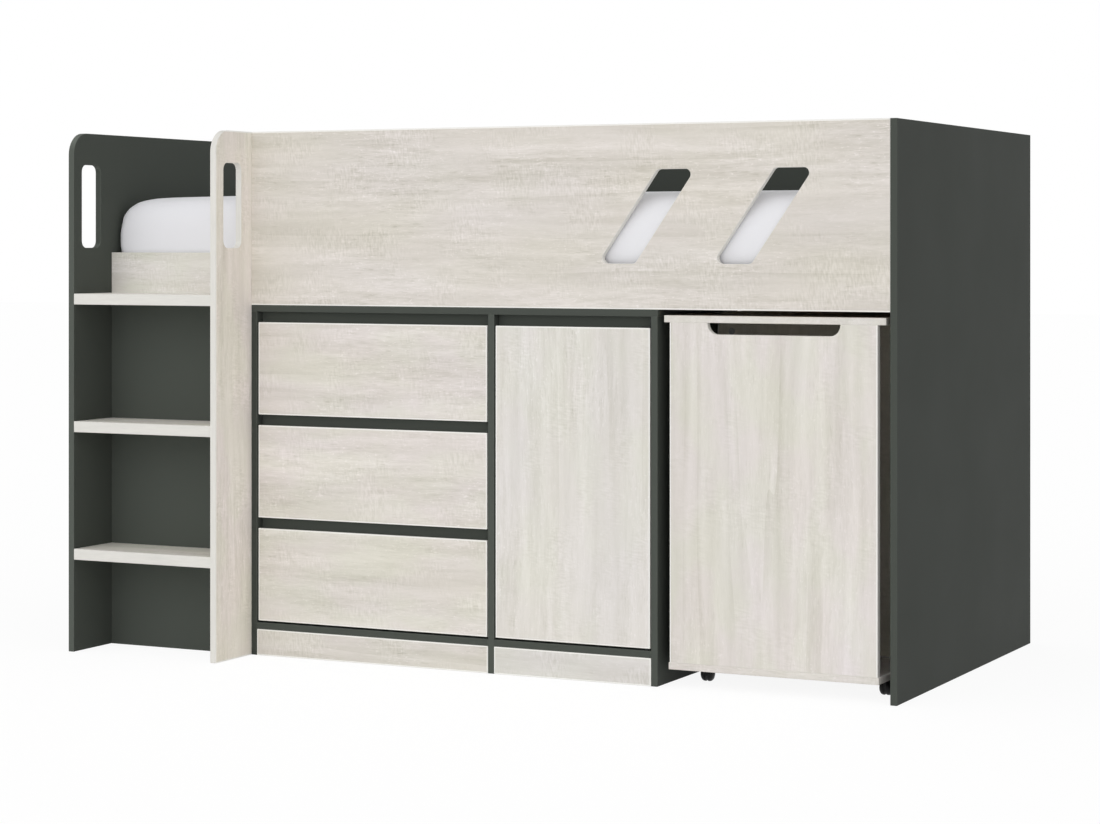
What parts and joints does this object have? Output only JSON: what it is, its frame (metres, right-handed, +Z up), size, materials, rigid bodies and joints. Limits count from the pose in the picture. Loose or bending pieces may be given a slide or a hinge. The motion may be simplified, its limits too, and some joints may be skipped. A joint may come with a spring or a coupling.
{
  "type": "cabin bed",
  "caption": "Raised single bed with slatted base and mattress over a chest of drawers, a cupboard and a pull-out desk on castors, entered by side steps between slotted panels",
  "frame": {"origin": "centre of the footprint on the floor", "axes": "+X along the bed to the desk end, +Y from the drawer fronts to the back, +Z up"},
  "size_m": [1.96, 1.11, 1.2],
  "materials": {
    "pale_board": "matt melamine board with a pale limed oak grain",
    "dark_board": "matt melamine board, dark green-grey",
    "drawer_board": "white drawer board",
    "thin_board": "thin faced hardboard",
    "slat_timber": "plain planed softwood",
    "mattress_fabric": "smooth white knitted cover",
    "slide_steel": "zinc-plated rolled steel",
    "zinc_fittings": "die-cast zinc",
    "dark_fittings": "dark painted steel",
    "castor_plastic": "black moulded nylon"
  },
  "bodies": {
    "bed_frame": {"left_end_panel": "dark_board", "right_end_panel": "dark_board", "step_side_panel": "pale_board", "step_top": "pale_board", "step_middle": "pale_board", "step_bottom": "pale_board", "step_back_panel": "dark_board", "front_guard_panel": "pale_board", "entry_rail": "pale_board", "rear_guard_panel": "dark_board", "frame_cam_locks": "zinc_fittings", "slat_rail_front": "slat_timber", "slat_rail_rear": "slat_timber", "bed_slats": "slat_timber", "mattress": "mattress_fabric", "cabinet_left_side": "dark_board", "cabinet_divider": "dark_board", "cabinet_right_side": "dark_board", "cabinet_top": "dark_board", "cabinet_back": "thin_board", "drawer_bay_floor": "dark_board", "cupboard_floor": "dark_board", "plinth_left": "pale_board", "plinth_right": "pale_board", "drawer_finger_rails": "dark_board", "door_finger_rail": "dark_board", "cupboard_shelf": "dark_board", "shelf_pins": "zinc_fittings", "door_pivot_seats": "dark_fittings", "drawer_runners": "slide_steel"},
    "cupboard_door": {"cupboard_door": "pale_board", "door_pivot_pins": "zinc_fittings"},
    "desk": {"desk_top": "pale_board", "desk_front_panel": "pale_board", "desk_inner_panel": "pale_board", "desk_rear_leg": "pale_board", "desk_base_board": "pale_board", "desk_rear_foot": "pale_board", "desk_cam_locks": "zinc_fittings", "castor_housings": "castor_plastic"},
    "drawer_bottom": {"drawer_bottom_front": "pale_board", "drawer_bottom_sides": "drawer_board", "drawer_bottom_back": "drawer_board", "drawer_bottom_bottom": "thin_board", "drawer_bottom_slides": "slide_steel"},
    "drawer_middle": {"drawer_middle_front": "pale_board", "drawer_middle_sides": "drawer_board", "drawer_middle_back": "drawer_board", "drawer_middle_bottom": "thin_board", "drawer_middle_slides": "slide_steel"},
    "drawer_top": {"drawer_top_front": "pale_board", "drawer_top_sides": "drawer_board", "drawer_top_back": "drawer_board", "drawer_top_bottom": "thin_board", "drawer_top_slides": "slide_steel"},
    "castor_wheel_front_left": {"castor_wheel_front_left": "castor_plastic"},
    "castor_wheel_front_right": {"castor_wheel_front_right": "castor_plastic"},
    "castor_wheel_rear_left": {"castor_wheel_rear_left": "castor_plastic"},
    "castor_wheel_rear_right": {"castor_wheel_rear_right": "castor_plastic"}
  },
  "joints": [
    {"name": "cupboard_door_swing", "type": "hinge", "parent": "bed_frame", "child": "cupboard_door", "pos_m": [0.417, -0.398, 0.42], "axis": [0, 0, 1], "range_deg": [0, 100]},
    {"name": "drawer_top_slide", "type": "slide", "parent": "bed_frame", "child": "drawer_top", "axis": [0, -1, 0], "range_m": [0, 0.3]},
    {"name": "drawer_middle_slide", "type": "slide", "parent": "bed_frame", "child": "drawer_middle", "axis": [0, -1, 0], "range_m": [0, 0.3]},
    {"name": "drawer_bottom_slide", "type": "slide", "parent": "bed_frame", "child": "drawer_bottom", "axis": [0, -1, 0], "range_m": [0, 0.3]},
    {"name": "desk_roll_out", "type": "slide", "parent": "bed_frame", "child": "desk", "axis": [0, -1, 0], "range_m": [0, 0.65]},
    {"name": "castor_front_left_spin", "type": "hinge", "parent": "desk", "child": "castor_wheel_front_left", "pos_m": [0.5105, -0.286, 0.016], "axis": [1, 0, 0], "range_deg": [-5, 2340]},
    {"name": "castor_front_right_spin", "type": "hinge", "parent": "desk", "child": "castor_wheel_front_right", "pos_m": [0.9155, -0.286, 0.016], "axis": [1, 0, 0], "range_deg": [-5, 2340]},
    {"name": "castor_rear_left_spin", "type": "hinge", "parent": "desk", "child": "castor_wheel_rear_left", "pos_m": [0.5105, 0.457, 0.016], "axis": [1, 0, 0], "range_deg": [-5, 2340]},
    {"name": "castor_rear_right_spin", "type": "hinge", "parent": "desk", "child": "castor_wheel_rear_right", "pos_m": [0.9155, 0.457, 0.016], "axis": [1, 0, 0], "range_deg": [-5, 2340]}
  ],
  "couplings": [
    {"joint": "castor_front_left_spin", "follows": "desk_roll_out", "rad_per_m": 62.5},
    {"joint": "castor_front_right_spin", "follows": "desk_roll_out", "rad_per_m": 62.5},
    {"joint": "castor_rear_left_spin", "follows": "desk_roll_out", "rad_per_m": 62.5},
    {"joint": "castor_rear_right_spin", "follows": "desk_roll_out", "rad_per_m": 62.5}
  ]
}
